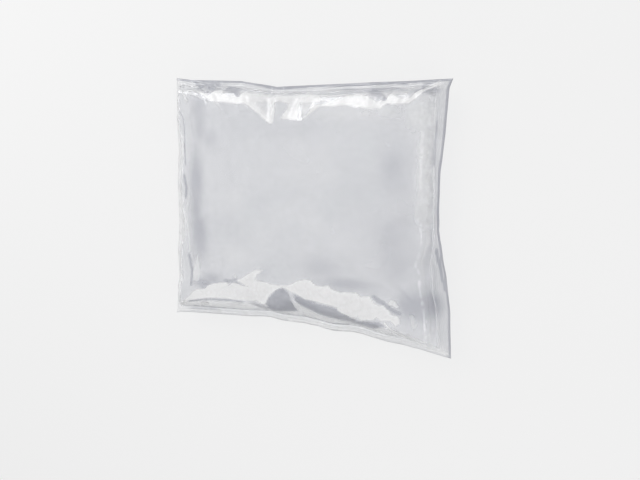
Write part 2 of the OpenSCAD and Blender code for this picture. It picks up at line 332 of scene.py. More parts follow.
def line_at(line, along, rough, seed):
    """A drawn line's height at places along it, made a little uneven."""
    steady = np.interp(along, *zip(*line))
    uneven = noise_field(along, along * 0, 9, 1, seed) + 0.6 * noise_field(along, along * 0, 4, 1, seed + 3)
    return steady * (1 + rough * uneven)


def rise_from(side, along, from_weld):
    """How far the film has risen over one side's shoulder, from 0 to 1."""
    s = np.maximum(0, from_weld)
    facet = np.maximum(2, line_at(facet_ends[side], along, 0.12, 60.0 + side))
    wall = np.maximum(2, line_at(wall_ends[side], along, 0.10, 80.0 + side))
    share = np.minimum(s / facet, 1)
    facet_rise = facet_slope[side] * facet * (1 - rounded[side] / 2)
    on_facet = facet_slope[side] * facet * (share - rounded[side] * share ** 2 / 2)
    steep = (crown_z - facet_rise) * (1 - (1 - np.minimum(s / wall, 1)) ** 2)
    foot = 1 - np.exp(-(s / foot_w) ** 2)
    return (on_facet + steep) * foot / crown_z


def fullness(x, y, u, v, in_x, in_y):
    across = np.where(u < 0, rise_from(LEFT, y, in_x), rise_from(RIGHT, y, in_x))
    along = np.where(v < 0, rise_from(BOTTOM, x, in_y), rise_from(TOP, x, in_y))
    return across * along


# %% [markdown]
# ## The two faces of the gel
#
# The film follows the gel, so the shape of the gel is worked out first: its upper face rises from
# the weld over the shoulders to a level middle, and its lower face drops to the surface that the
# pack lies on. The welded band between them bends up and down with the gathers.

# %% The gel's faces
back_power = 1.5


def settled(u, v):
    """The back film's share of the way down to the surface, which is 1 where it lies flat."""
    across = np.clip((np.abs(u) - level_u) / (weld_u - level_u), 0, 1)
    along = np.clip((np.abs(v) - level_v) / (weld_v - level_v), 0, 1)
    return (1 - across ** back_power) * (1 - along ** back_power)


def beads(x, y, from_weld):
    """Two thin ridges that the welding bar leaves, one along each edge of the band."""
    uneven = 1 + 0.8 * noise_field(x, y, 11, 11, 91.0)
    inner = 0.50 * np.exp(-((from_weld + 0.9) / 0.55) ** 2)
    outer = 0.30 * np.exp(-((from_weld + 2.8) / 0.50) ** 2)
    return (inner + outer) * uneven


def meet_z(x, y, u, v, in_x, in_y, full):
    lift = (corner_z + twist_z * np.sign(u * v)) * np.abs(u * v) ** 5
    bead = beads(x, y, np.minimum(in_x, in_y))
    return weld_z + lift + waves(u, v, in_x, in_y) * (1 - full) + bead


def gel_faces(u, v):
    """The place of each point, and the heights of the gel's upper and lower face there."""
    x, y = place(u, v)
    in_x, in_y = inwards(u, v)
    full = fullness(x, y, u, v, in_x, in_y)
    meet = meet_z(x, y, u, v, in_x, in_y, full)
    grown = np.minimum(1, 3 * full)
    folds = gather_z * ridges(u, v, in_x, in_y) + creases(x, y, in_x, in_y, 2.0)
    upper = meet + crown_z * full + grown * folds
    down = settled(u, v)
    turned = back_gather_z * ridges(-u, v, in_x, in_y) - 0.7 * creases(x, y, in_x, in_y, 31.0)
    lower = meet * (1 - down) + film_t * down - np.minimum(1, 4 * down) * (1 - down) * turned
    return x, y, upper, lower, meet, np.minimum(in_x, in_y)


# %% [markdown]
# ## From a grid to a sheet
#
# A sheet of film starts as a plain grid, which is what a cut sheet is. Each of its points is then
# moved to where the filled pouch carries it. The grid's lines are spread so that one of them runs
# along the inner edge of the weld, where the gel starts, and they lie closer together near the
# welds, because the small folds are there.

# %% Sheets
cells_x, cells_y, band_cells = 220, 190, 6
crowding = 0.45


def spread(t, cells, weld):
    """Moves the grid's lines so that the weld's inner edge lies on one of them."""
    inner = 1 - 2 * band_cells / cells
    share = t / inner
    crowded = (1 - crowding) * share + crowding * np.sin(np.pi / 2 * share)
    beyond = (np.abs(t) - inner) / (1 - inner)
    return np.where(np.abs(t) <= inner + 1e-9, weld * crowded,
                    np.sign(t) * (weld + beyond * (1 - weld)))


def sheet_grid(columns, rows, inner=False):
    """A bmesh grid with each point's place on the pack, u and v."""
    grid = bmesh.new()
    bmesh.ops.create_grid(grid, x_segments=columns, y_segments=rows, size=1)
    at = np.array([vert.co[:2] for vert in grid.verts])
    if inner:
        at = at * (1 - 2 * band_cells / np.array([cells_x, cells_y]))
    u = spread(at[:, 0], cells_x, weld_u)
    v = spread(at[:, 1], cells_y, weld_v)
    return grid, u, v


def move_points(grid, x, y, z):
    for vert, px, py, pz in zip(grid.verts, x, y, z):
        vert.co = (px * MM, py * MM, pz * MM)
    bmesh.ops.recalc_face_normals(grid, faces=grid.faces)
    grid.normal_update()


# %% [markdown]
# ## Where the film lifts off the gel, and painted highlights
#
# Along the bottom weld a pale patch with a torn outline crosses the pack. There the film doesn't
# touch the gel, and the thin layer of air behind it looks white. Along the top weld the lamp's
# reflection in the gathers is painted in as two white patches, over the real reflection. Each patch
# is drawn as a closed outline, with its strength, and each point of the film stores how white it
# is. Folds that catch the lamp are painted highlights, drawn as strokes: a strength, a half-width
# and the points that the stroke runs through. Soft spots of painted light are given by their place,
# two half-widths and a strength, and the welded band is painted whiter on some sides than others.

# %% The dry patch and the painted highlights
low_patch = [
    (-97, -74), (-89, -69), (-84, -65), (-80, -61), (-77, -59), (-70, -58), (-67, -55), (-62, -53),
    (-57, -52), (-51, -51), (-50, -53), (-47, -51), (-43, -51), (-35, -52), (-43, -49), (-35, -44),
    (-28, -40), (-23, -40), (-27, -43), (-29, -46), (-27, -47), (-21, -47), (-16, -48), (-7, -48),
    (-3, -47), (1, -45), (5, -43), (10, -42), (13, -42), (15, -44), (20, -45), (26, -44), (28, -46),
    (34, -47), (42, -46), (45, -46), (48, -48), (54, -47), (56, -50), (57, -51), (61, -52), (63, -51),
    (65, -53), (67, -54), (68, -56), (73, -57), (74, -61), (71, -63), (68, -60), (61, -61), (59, -59),
    (57, -61), (47, -63), (46, -60), (45, -61), (41, -62), (36, -61), (32, -59), (31, -57), (24, -56),
    (15, -55), (8, -55), (1, -52), (-5, -50), (-8, -49), (-12, -51), (-17, -55), (-19, -57), (-20, -60),
    (-22, -62), (-30, -61), (-39, -62), (-53, -62), (-64, -63), (-75, -65), (-85, -68), (-90, -71)]
# Painted highlights: the lamp's reflection in the top gathers, painted in as white
top_left_highlight = [
    (-78, 73), (-70, 71), (-65, 69), (-61, 72), (-57, 72), (-54, 70), (-47, 69), (-40, 69), (-39, 72),
    (-35, 71), (-30, 71), (-23, 70), (-9, 70), (6, 71), (18, 70), (19, 67), (12, 66), (2, 66), (3, 57),
    (2, 55), (-1, 56), (-9, 56), (-6, 61), (-5, 65), (-10, 67), (-14, 65), (-13, 62), (-15, 53),
    (-18, 53), (-23, 57), (-30, 62), (-34, 65), (-47, 65), (-60, 66), (-67, 68)]
top_right_highlight = [
    (7, 56), (12, 61), (14, 64), (19, 65), (30, 68), (35, 70), (44, 71), (51, 70), (56, 67), (62, 68),
    (64, 71), (65, 72), (70, 70), (75, 69), (78, 70), (81, 74), (85, 76), (91, 78), (88, 76), (84, 72),
    (77, 67), (67, 66), (63, 66), (59, 64), (54, 63), (39, 65), (26, 64), (19, 64), (14, 61), (10, 58)]
folded_in = [(-28, 66), (-21, 66), (-17, 61), (-18, 57), (-20, 57), (-25, 62), (-28, 64)]
# The low patch is dry film; the two top patches are painted highlights, and the small shapes are further white marks
dry_and_highlight_areas = [
    (1.0, low_patch), (1.0, top_left_highlight), (1.0, top_right_highlight),
    (0.75, [(66, -50), (68, -47), (71, -48), (73, -51), (72, -52), (69, -51)]),
    (0.45, [(80, -55), (82, -55), (84, -58), (85, -61), (83, -64), (81, -61)]),
    (0.55, [(-75, -34), (-74, -40), (-73, -47), (-74, -52), (-76, -54), (-80, -53), (-79, -47), (-77, -40)]),
    (0.60, [(-46, -46), (-45, -45), (-43, -47), (-45, -48)])]
# Painted highlights along folds and along the bottom weld
highlight_strokes = [
    (0.85, 0.5, [(64, -62), (66, -64), (69, -66), (73, -68), (78, -70), (83, -73), (90, -75), (96, -77)]),
    (1.00, 0.8, [(-10, -73), (-3, -73), (9, -73), (20, -74), (38, -74), (47, -75), (64, -74), (72, -74),
                 (82, -75), (90, -77), (99, -78)]),
    (0.45, 1.0, [(34, -71), (43, -70), (49, -68), (56, -69), (65, -71)]),
    (0.85, 0.9, [(-74, -69), (-72, -68), (-69, -68)]),
    (0.50, 0.5, [(-68, 76), (-65, 74), (-60, 75)]),
    (0.60, 0.5, [(-80, 71), (-74, 69), (-69, 67)]),
    (0.70, 0.5, [(-57, 73), (-55, 71), (-58, 68)]),
    (0.60, 0.5, [(-76, 74), (-68, 72), (-65, 69)]),
    (0.85, 0.4, [(79, 70), (81, 72), (82, 75), (86, 77), (91, 79)]),
    (0.40, 0.7, [(-81, 4), (-84, -7), (-83, -19), (-81, -33)]),
    (0.50, 0.7, [(85, 43), (86, 39), (84, 37)])]
# Painted light: soft spots that lighten the right side, the left and the middle, and glow below the top highlight
painted_light_spots = [(86, 26, 5, 38, 0.36), (82, 62, 12, 12, 0.45), (70, 61, 16, 6, 0.30), (30, 61, 40, 5, 0.22),
               (-48, 0, 16, 30, 0.18), (-48, -32, 20, 14, 0.18), (0, 0, 40, 34, 0.12)]
# Painted light: the welded band is painted whiter on the left and bottom than on the top and right
band_painted_light = {TOP: 0.10, BOTTOM: 0.50, LEFT: 0.75, RIGHT: 0.10}


def by_side(values, x, y, u, v):
    """Each side's own value in its band, blended over the corners."""
    _, outer_x, _, outer_y = edges(u, v)
    share = 1 / (1 + np.exp((outer_x - np.abs(x) - outer_y + np.abs(y)) / 1.5))
    sides = np.where(u < 0, values[LEFT], values[RIGHT])
    ends = np.where(v < 0, values[BOTTOM], values[TOP])
    return (sides * share + ends * (1 - share)) * (1 + 0.35 * noise_field(x, y, 16, 16, 71.0))


def inside_distance(x, y, corners):
    """Distance to an outline, in millimetres, above 0 inside it."""
    nearest = np.full_like(x, 1e9)
    inside = np.zeros(x.shape, bool)
    for (ax, ay), (bx, by) in zip(corners, corners[1:] + corners[:1]):
        dx, dy = bx - ax, by - ay
        share = np.clip(((x - ax) * dx + (y - ay) * dy) / (dx * dx + dy * dy), 0, 1)
        nearest = np.minimum(nearest, np.hypot(x - ax - share * dx, y - ay - share * dy))
        if dy:
            inside ^= ((ay > y) != (by > y)) & (x < ax + (y - ay) / dy * dx)
    return np.where(inside, nearest, -nearest)


def stroke_distance(x, y, points):
    """Distance to a line through some points, in millimetres."""
    nearest = np.full_like(x, 1e9)
    for (ax, ay), (bx, by) in zip(points, points[1:]):
        dx, dy = bx - ax, by - ay
        share = np.clip(((x - ax) * dx + (y - ay) * dy) / (dx * dx + dy * dy), 0, 1)
        nearest = np.minimum(nearest, np.hypot(x - ax - share * dx, y - ay - share * dy))
    return nearest


def soft_spots(x, y, spots, seed):
    """Blurred spots: places, half-widths and strengths, made a little uneven."""
    total = np.zeros_like(x)
    uneven = 1 + 0.35 * noise_field(x, y, 16, 20, seed)
    for at_x, at_y, wide, high, strength in spots:
        blur = np.exp(-((x - at_x) / wide) ** 2 - ((y - at_y) / high) ** 2)
        total = np.maximum(total, strength * blur * uneven)
    return total


def dry_film_and_highlights(x, y, u, v, from_weld):
    """How white the film is, from 0 to 1: where it doesn't touch the gel, and where highlights and light are
    painted.
    """
    ragged = 0.35 * noise_field(x, y, 5, 4, 51.0) + 0.25 * noise_field(x, y, 2.2, 2.2, 57.0)
    in_band = np.clip(0.5 - from_weld, 0, 1)
    total = np.maximum(soft_spots(x, y, painted_light_spots, 61.0), in_band * by_side(band_painted_light, x, y, u, v))
    for strength, corners in dry_and_highlight_areas:
        share = np.clip((inside_distance(x, y, corners) + ragged) / 0.7 + 0.5, 0, 1)
        total = np.maximum(total, strength * share)
    total *= 1 - 0.6 * np.clip(inside_distance(x, y, folded_in) / 1.5 + 0.5, 0, 1)
    for strength, half_width, points in highlight_strokes:
        share = np.clip((half_width - stroke_distance(x, y, points)) / 0.8 + 0.5, 0, 1)
        total = np.maximum(total, strength * share)
    return total


# %% [markdown]
# ## Painted shade where the pack would look deeper
#
# A clear object shows dark edges, because its steep parts bend the view towards darker places in
# the room. A plain white studio has no such places, so that shade is painted into the film: each
# point stores how much shade is painted there. The hump at the large fold and the wall beside it
# are outlines, thin folds are strokes, the soft spots are given by their place, two half-widths and
# a strength, and the film's outer edge is painted darker by side. A light streak is left on the hump.

# %% Painted shade
painted_shade_areas = [
    (0.95, 1.2, [(-21, -61), (-18, -57), (-15, -54), (-12, -51), (-8, -50), (-5, -50), (-3, -54), (-2, -58),
                 (-1, -65), (-10, -66), (-20, -67)]),
    (0.80, 2.5, [(1, -53), (8, -55), (24, -57), (31, -58), (33, -60), (41, -63), (47, -64), (60, -62),
                 (63, -64), (56, -67), (44, -67), (30, -66), (16, -63), (5, -60), (0, -57)]),
    (0.45, 1.5, [(-35, -62), (-22, -63), (-20, -67), (-28, -67), (-35, -64)])]
painted_shade_strokes = [
    (0.65, 0.5, [(-84, -68), (-75, -66), (-64, -64), (-50, -63), (-40, -63)]),
    (0.55, 0.6, [(-84, -72), (-74, -72), (-64, -72)]),
    (0.55, 0.5, [(-46, -49), (-41, -51), (-35, -53)]),
    (0.45, 1.2, [(-53, -50), (-48, -50), (-44, -48)]),
    (0.60, 1.2, [(63, -50), (66, -52), (70, -54), (74, -55)]),
    (0.45, 1.5, [(57, -47), (60, -49), (63, -50)]),
    (0.60, 0.9, [(-85, 17), (-83, 9), (-84, 3)]),
    (0.50, 0.5, [(-87, 58), (-85, 55), (-84, 50), (-84, 42), (-85, 34), (-84, 24)]),
    (0.40, 0.8, [(-24, -47), (-17, -49), (-9, -49)]),
    (0.55, 1.0, [(-82, -36), (-80, -46), (-81, -56)]),
    (0.45, 0.5, [(-90, -76), (-79, -75), (-68, -74)]),
    (0.65, 0.5, [(-40, 78), (-31, 76), (-24, 74), (-13, 74), (-3, 75), (12, 76), (26, 76), (46, 77),
                 (62, 78), (70, 77)]),
    (0.45, 0.4, [(26, 74), (46, 74), (62, 75), (69, 74)]),
    (0.60, 0.6, [(-84, 78), (-80, 75), (-69, 72), (-61, 70)]),
    (0.50, 0.5, [(-78, 77), (-72, 74), (-61, 72)]),
    (0.35, 1.5, [(-56, 74), (-46, 72), (-40, 68)]),
    (0.35, 1.5, [(48, 74), (57, 71), (64, 67)]),
    (0.45, 0.5, [(76, 71), (78, 73), (81, 77), (91, 79)]),
    (0.35, 0.8, [(89, 57), (88, 46), (88, 32)]),
    (0.60, 0.8, [(91, -17), (93, -26), (95, -34), (97, -40)])]
painted_shade_spots = [(-72, 56, 7, 20, 0.42), (-64, 42, 10, 8, 0.26), (-75, 8, 7, 36, 0.38), (-73, -22, 8, 18, 0.46),
              (-70, -54, 9, 4, 0.50), (-62, -50, 12, 5, 0.35), (84, -50, 14, 12, 0.42), (22, -34, 20, 10, 0.26),
              (38, -42, 28, 6, 0.34), (-22, -42, 5, 4, 0.20), (68, 32, 12, 26, 0.24), (70, -16, 18, 26, 0.26),
              (-20, 48, 60, 8, 0.10), (-70, 76, 12, 2.5, 0.40), (84, 74, 10, 2.5, 0.35)]
rim_painted_shade = {TOP: 0.75, BOTTOM: 0.15, LEFT: 0.0, RIGHT: 0.80}
light_streak = [(-6, -50), (-3, -52), (-1, -57), (0, -65)]


def painted_shade_field(x, y, u, v):
    """How much shade is painted at a point, from 0 to 1."""
    total = np.zeros_like(x)
    for strength, blur, corners in painted_shade_areas:
        share = np.clip(inside_distance(x, y, corners) / blur + 0.5, 0, 1)
        total = np.maximum(total, strength * share * (0.9 + 0.35 * noise_field(x, y, 12, 4, 95.0)))
    total *= 1 - 0.65 * np.exp(-(stroke_distance(x, y, light_streak) / 1.3) ** 2)
    for strength, half_width, points in painted_shade_strokes:
        share = np.clip((half_width - stroke_distance(x, y, points)) / 1.0 + 0.5, 0, 1)
        total = np.maximum(total, strength * share)
    total = np.maximum(total, soft_spots(x, y, painted_shade_spots, 97.0))
    # Painted shade along the film's outer edge, strongest on the top and right
    _, outer_x, _, outer_y = edges(u, v)
    to_edge = np.minimum(outer_x - np.abs(x), outer_y - np.abs(y))
    rim = by_side(rim_painted_shade, x, y, u, v) * np.clip(1.6 - to_edge, 0, 1)
    return np.clip(np.maximum(total, rim), 0, 1)


# %% The front film
# Painted shade in the welded band, strongest on the right and top, none on the left
band_painted_shade = {TOP: 0.35, BOTTOM: 0.10, LEFT: 0.0, RIGHT: 0.40}


def make_film(name, front):
    grid, u, v = sheet_grid(cells_x, cells_y)
    x, y, upper, lower, _, from_weld = gel_faces(u, v)
    move_points(grid, x, y, upper + film_gap if front else lower - film_gap)
    if front != (grid.faces[0].normal.z > 0):
        bmesh.ops.reverse_faces(grid, faces=grid.faces)
        grid.normal_update()
    white = grid.verts.layers.float.new("white")
    weld = grid.verts.layers.float.new("weld")
    painted_band_shade = grid.verts.layers.float.new("painted_band_shade")
    painted_shade = grid.verts.layers.float.new("painted_shade")
    # The front film stores how white it is, as dry film or as a painted highlight; both films store painted shade
    dry_and_highlight = dry_film_and_highlights(x, y, u, v, from_weld) if front else np.zeros_like(x)
    # Painted shade, weaker on the back film
    depth = painted_shade_field(x, y, u, v) * (1 if front else 0.4)
    shade = by_side(band_painted_shade, x, y, u, v)
    for vert, *values in zip(grid.verts, dry_and_highlight, from_weld, shade, depth):
        vert[white], vert[weld], vert[painted_band_shade], vert[painted_shade] = values
    bmesh.ops.solidify(grid, geom=grid.faces[:], thickness=-film_t * MM)
    bmesh.ops.recalc_face_normals(grid, faces=grid.faces)
    return add_piece(grid, name)


front_sheet = make_film("front_sheet", True)
back_sheet = make_film("back_sheet", False)
for piece in (front_sheet, back_sheet):
    heights = [vert.co.z / MM for vert in piece.data.vertices]
    print(piece.name, "from", round(min(heights), 3), "to", round(max(heights), 3), "mm")

# %% [markdown]
# ## The gel
#
# The gel is one body. Its upper and lower faces are two grids with the same lines as the sheets,
# so that film and gel never cross, and they share their outermost points along the weld.

# %% The gel


def make_gel():
    body = bmesh.new()
    for on_top in (True, False):
        half, u, v = sheet_grid(cells_x - 2 * band_cells, cells_y - 2 * band_cells, inner=True)
        x, y, top_z, under_z, meet, from_weld = gel_faces(u, v)
        z = np.where(from_weld < 1e-6, meet, top_z if on_top else under_z)
        move_points(half, x, y, z)
        if on_top != (half.faces[0].normal.z > 0):
            bmesh.ops.reverse_faces(half, faces=half.faces)
        part = bpy.data.meshes.new("half")
        half.to_mesh(part)
        half.free()
        body.from_mesh(part)
        bpy.data.meshes.remove(part)
    bmesh.ops.remove_doubles(body, verts=body.verts, dist=0.002 * MM)
    bmesh.ops.recalc_face_normals(body, faces=body.faces)
    return add_piece(body, "gel_body")


gel_body = make_gel()

# %% [markdown]
# ## Bubbles
#
# A few small bubbles of air are caught in the gel, just under the front film.

# %% Bubbles
bubble_spots = [(61, 43, 1.1), (55, 3, 1.1), (46, -13, 1.2), (-38, 23, 1.0), (69, 57, 0.8),
                (-66, 8, 0.6), (-58, -30, 0.7), (12, 34, 0.5), (24, 12, 0.5), (-8, -22, 0.5),
                (74, 20, 0.7), (70, -30, 0.8), (-30, 44, 0.6), (31, -36, 0.6)]


def make_bubbles():
    bubbles = bmesh.new()
    for x, y, radius in bubble_spots:
        depth = 17.5 - radius
        where = Matrix.Translation((x * MM, y * MM, depth * MM))
        squashed = where @ Matrix.Diagonal((1, 1, 0.7, 1))
        bmesh.ops.create_icosphere(bubbles, subdivisions=3, radius=radius * MM, matrix=squashed)
    return add_piece(bubbles, "bubbles")


bubbles = make_bubbles()

# %% [markdown]
# ## Materials
#
# Clear film is hard to fake with one shader. It lets nearly all the light through, and shows
# itself by what it mirrors, more so at a low angle. So it is a mix of a transparent and a glossy
# shader, weighed by Fresnel, with a little haze. The fine crinkles are a node group, because both
# sheets have them.

# %% Node helpers


def new_group(name, inputs, outputs):
    group = bpy.data.node_groups.new(name, "ShaderNodeTree")
    for label, kind in inputs:
        group.interface.new_socket(label, in_out="INPUT", socket_type=kind)
    for label, kind in outputs:
        group.interface.new_socket(label, in_out="OUTPUT", socket_type=kind)
    return group, group.nodes.new("NodeGroupInput"), group.nodes.new("NodeGroupOutput")


def add_node(tree, kind, **settings):
    node = tree.nodes.new(kind)
    for key, value in settings.items():
        if hasattr(node, key):
            setattr(node, key, value)
        else:
            node.inputs[key].default_value = value
    return node


def math_node(tree, operation, first, second=None, clamp=False):
    node = add_node(tree, "ShaderNodeMath", operation=operation, use_clamp=clamp)
    for socket, value in zip(node.inputs, (first, second)):
        if isinstance(value, (int, float)):
            socket.default_value = value
        elif value is not None:
            tree.links.new(value, socket)
    return node.outputs[0]


# %% The crinkle group


def crinkle_group():
    group, inside, outside = new_group(
        "film_crinkle",
        [("Vector", "NodeSocketVector"), ("Size", "NodeSocketFloat")],
        [("Height", "NodeSocketFloat")])
    links = group.links
    scaled = add_node(group, "ShaderNodeVectorMath", operation="SCALE")
    links.new(inside.outputs["Vector"], scaled.inputs[0])
    links.new(inside.outputs["Size"], scaled.inputs["Scale"])
    crinkle = group.nodes.new("ShaderNodeTexNoise")
    crinkle.inputs["Scale"].default_value = 1.0
    crinkle.inputs["Detail"].default_value = 3.0
    links.new(scaled.outputs[0], crinkle.inputs["Vector"])
    centred = math_node(group, "SUBTRACT", crinkle.outputs["Fac"], 0.5)
    folded = math_node(group, "ABSOLUTE", centred)
    links.new(math_node(group, "MULTIPLY", folded, 2.0), outside.inputs["Height"])
    return group


film_crinkle = crinkle_group()

# %% [markdown]
# ## Clouds
#
# Nothing on the real pack is perfectly clear: the gel has faint cloudy streaks, and the film a
# haze that comes and goes. Both are soft noise, drawn out a little along the pack, so they share
# one group that puts out a mask from 0 to 1.

# %% The cloud group


def cloud_group():
    group, inside, outside = new_group(
        "soft_cloud",
        [("Vector", "NodeSocketVector"), ("Scale", "NodeSocketVector"), ("Contrast", "NodeSocketFloat")],
        [("Mask", "NodeSocketFloat")])
    links = group.links
    scaled = add_node(group, "ShaderNodeVectorMath", operation="MULTIPLY")
    links.new(inside.outputs["Vector"], scaled.inputs[0])
    links.new(inside.outputs["Scale"], scaled.inputs[1])
    cloud = group.nodes.new("ShaderNodeTexNoise")
    cloud.inputs["Scale"].default_value = 1.0
    cloud.inputs["Detail"].default_value = 4.0
    cloud.inputs["Roughness"].default_value = 0.45
    cloud.inputs["Distortion"].default_value = 0.4
    links.new(scaled.outputs[0], cloud.inputs["Vector"])
    centred = math_node(group, "SUBTRACT", cloud.outputs["Fac"], 0.5)
    spread_out = math_node(group, "MULTIPLY", centred, inside.outputs["Contrast"])
    links.new(math_node(group, "ADD", spread_out, 0.5, clamp=True), outside.inputs["Mask"])
    return group


soft_cloud = cloud_group()


def cloud_node(tree, vector, scale, contrast):
    node = tree.nodes.new("ShaderNodeGroup")
    node.node_tree = soft_cloud
    node.inputs["Scale"].default_value = scale
    node.inputs["Contrast"].default_value = contrast
    tree.links.new(vector, node.inputs["Vector"])
    return node.outputs["Mask"]


# %% [markdown]
# ## Lines along the weld
#
# The welding bar leaves fine lines in the film that run along the weld and waver a little. Each
# point of the film knows its distance from the weld, so the lines are a wave of that distance,
# shifted by noise, and they fade out a few millimetres to both sides of the band.

# %% The weld line group


def weld_line_group():
    group, inside, outside = new_group(
        "weld_lines",
        [("Vector", "NodeSocketVector"), ("Distance", "NodeSocketFloat"), ("Spacing", "NodeSocketFloat")],
        [("Height", "NodeSocketFloat"), ("Mask", "NodeSocketFloat")])
    links = group.links
    waver = group.nodes.new("ShaderNodeTexNoise")
    waver.inputs["Scale"].default_value = 45.0
    waver.inputs["Detail"].default_value = 2.0
    links.new(inside.outputs["Vector"], waver.inputs["Vector"])
    shift = math_node(group, "MULTIPLY", waver.outputs["Fac"], 5.0)
    moved = math_node(group, "ADD", inside.outputs["Distance"], shift)
    turns = math_node(group, "DIVIDE", moved, inside.outputs["Spacing"])
    wave = math_node(group, "SINE", math_node(group, "MULTIPLY", turns, 2 * math.pi))
    far = math_node(group, "ABSOLUTE", math_node(group, "ADD", inside.outputs["Distance"], 1.0))
    fade = group.nodes.new("ShaderNodeMapRange")
    fade.interpolation_type = "SMOOTHSTEP"
    for key, value in (("From Min", 6.0), ("From Max", 2.0), ("To Min", 0.0), ("To Max", 1.0)):
        fade.inputs[key].default_value = value
    links.new(far, fade.inputs["Value"])
    links.new(math_node(group, "MULTIPLY", wave, fade.outputs[0]), outside.inputs["Height"])
    links.new(fade.outputs[0], outside.inputs["Mask"])
    return group


weld_lines = weld_line_group()

# %% Letting light through


def lit_through(tree, shader, colour):
    """Lets light on its way to the floor pass straight through, tinted by colour."""
    straight = tree.nodes.new("ShaderNodeBsdfTransparent")
    straight.inputs["Color"].default_value = colour
    path = tree.nodes.new("ShaderNodeLightPath")
    unbent = math_node(tree, "MAXIMUM", path.outputs["Is Shadow Ray"], path.outputs["Is Diffuse Ray"])
    both = tree.nodes.new("ShaderNodeMixShader")
    tree.links.new(unbent, both.inputs[0])
    tree.links.new(shader, both.inputs[1])
    tree.links.new(straight.outputs[0], both.inputs[2])
    return both.outputs[0]


def ramp(tree, value, low, high, at_low, at_high):
    """Maps a value from the range low..high to at_low..at_high, and holds it there beyond."""
    node = tree.nodes.new("ShaderNodeMapRange")
    for key, number in (("From Min", low), ("From Max", high), ("To Min", at_low), ("To Max", at_high)):
        node.inputs[key].default_value = number
    tree.links.new(value, node.inputs["Value"])
    return node.outputs[0]


def blend_colours(tree, share, first, second):
    node = add_node(tree, "ShaderNodeMix", data_type="RGBA")
    tree.links.new(share, node.inputs["Factor"])
    node.inputs[6].default_value = first
    node.inputs[7].default_value = second
    return node.outputs[2]


# %% The film's material


